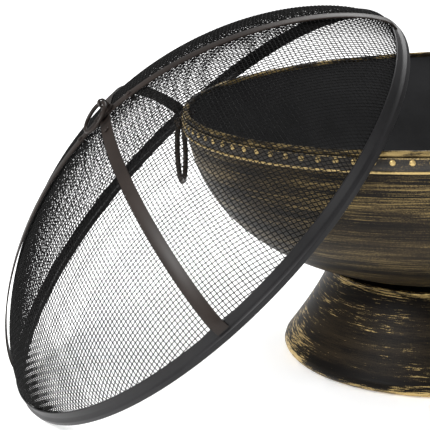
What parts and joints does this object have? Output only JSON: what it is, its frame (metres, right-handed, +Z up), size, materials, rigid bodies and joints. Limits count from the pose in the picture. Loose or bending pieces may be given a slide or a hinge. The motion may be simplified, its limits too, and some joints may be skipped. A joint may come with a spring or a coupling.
{
  "type": "fire pit",
  "caption": "Round steel fire bowl on a flared pedestal, with drop-ring handles, a loose log grate and a domed mesh spark screen that leans on the rim.",
  "frame": {"origin": "on the ground, at the middle of the whole object's outline with the screen leaning", "axes": "+Z up, +X from the left handle to the right handle; the screen leans on the bowl's -X side"},
  "size_m": [1.0534, 0.8874, 0.5213],
  "materials": {
    "antique_bronze": "black paint with dry-brushed antique gold streaks",
    "gilded_band": "black paint with gold rubbed on the raised edges and studs",
    "soot_black": "matte heat-proof black",
    "hoop_black": "satin charcoal",
    "mesh_black": "black woven wire",
    "strap_brown": "satin dark bronze",
    "dark_fastener": "blackened steel"
  },
  "bodies": {
    "pit": {"seat_bolt_1": "dark_fastener", "seat_nut_1": "dark_fastener", "seat_bolt_2": "dark_fastener", "seat_nut_2": "dark_fastener", "seat_bolt_3": "dark_fastener", "seat_nut_3": "dark_fastener", "seat_bolt_4": "dark_fastener", "seat_nut_4": "dark_fastener", "handle_bracket_right": "antique_bronze", "handle_bolt_right_1": "dark_fastener", "handle_nut_right_1": "dark_fastener", "handle_bolt_right_2": "dark_fastener", "handle_nut_right_2": "dark_fastener", "handle_bracket_left": "antique_bronze", "handle_bolt_left_1": "dark_fastener", "handle_nut_left_1": "dark_fastener", "handle_bolt_left_2": "dark_fastener", "handle_nut_left_2": "dark_fastener", "pedestal": "antique_bronze", "seat_plate": "soot_black", "fire_bowl": "antique_bronze", "rim_band": "gilded_band"},
    "grate": {"grate_ring": "soot_black", "grate_bar_1": "soot_black", "grate_bar_2": "soot_black", "grate_bar_3": "soot_black", "grate_bar_4": "soot_black", "grate_bar_5": "soot_black", "grate_bar_6": "soot_black", "grate_bar_7": "soot_black", "grate_bearer_1": "soot_black", "grate_bearer_2": "soot_black", "grate_leg_1": "soot_black", "grate_leg_2": "soot_black", "grate_leg_3": "soot_black", "grate_leg_4": "soot_black"},
    "handle_left": {"handle_ring_left": "antique_bronze"},
    "handle_right": {"handle_ring_right": "antique_bronze"},
    "screen": {"screen_hoop": "hoop_black", "strap_under": "strap_brown", "strap_over": "strap_brown", "screen_mesh": "mesh_black", "strap_1_bolt": "dark_fastener", "strap_1_nut": "dark_fastener", "strap_2_bolt": "dark_fastener", "strap_2_nut": "dark_fastener", "strap_3_bolt": "dark_fastener", "strap_3_nut": "dark_fastener", "strap_4_bolt": "dark_fastener", "strap_4_nut": "dark_fastener", "crown_bolt": "dark_fastener", "crown_nut": "dark_fastener", "lift_clip": "strap_brown"},
    "lift_ring": {"lift_ring": "strap_brown"}
  },
  "joints": [
    {"name": "screen_close", "type": "hinge", "parent": "pit", "child": "screen", "pos_m": [0.125, 0.057, -0.16796], "axis": [-0.3616, 0.9323, 0], "range_deg": [0, 41.75]},
    {"name": "lift_ring_swing", "type": "hinge", "parent": "screen", "child": "lift_ring", "pos_m": [-0.35077, -0.12286, 0.41868], "axis": [-0.5896, 0.7706, -0.2419], "range_deg": [0, 150]},
    {"name": "handle_left_swing", "type": "hinge", "parent": "pit", "child": "handle_left", "pos_m": [-0.2696, 0.057, 0.351], "axis": [0, 1, 0], "range_deg": [-8, 90]},
    {"name": "handle_right_swing", "type": "hinge", "parent": "pit", "child": "handle_right", "pos_m": [0.5196, 0.057, 0.351], "axis": [0, -1, 0], "range_deg": [-8, 90]},
    {"name": "grate_lift", "type": "slide", "parent": "pit", "child": "grate", "axis": [0, 0, 1], "range_m": [0, 0.15]}
  ]
}
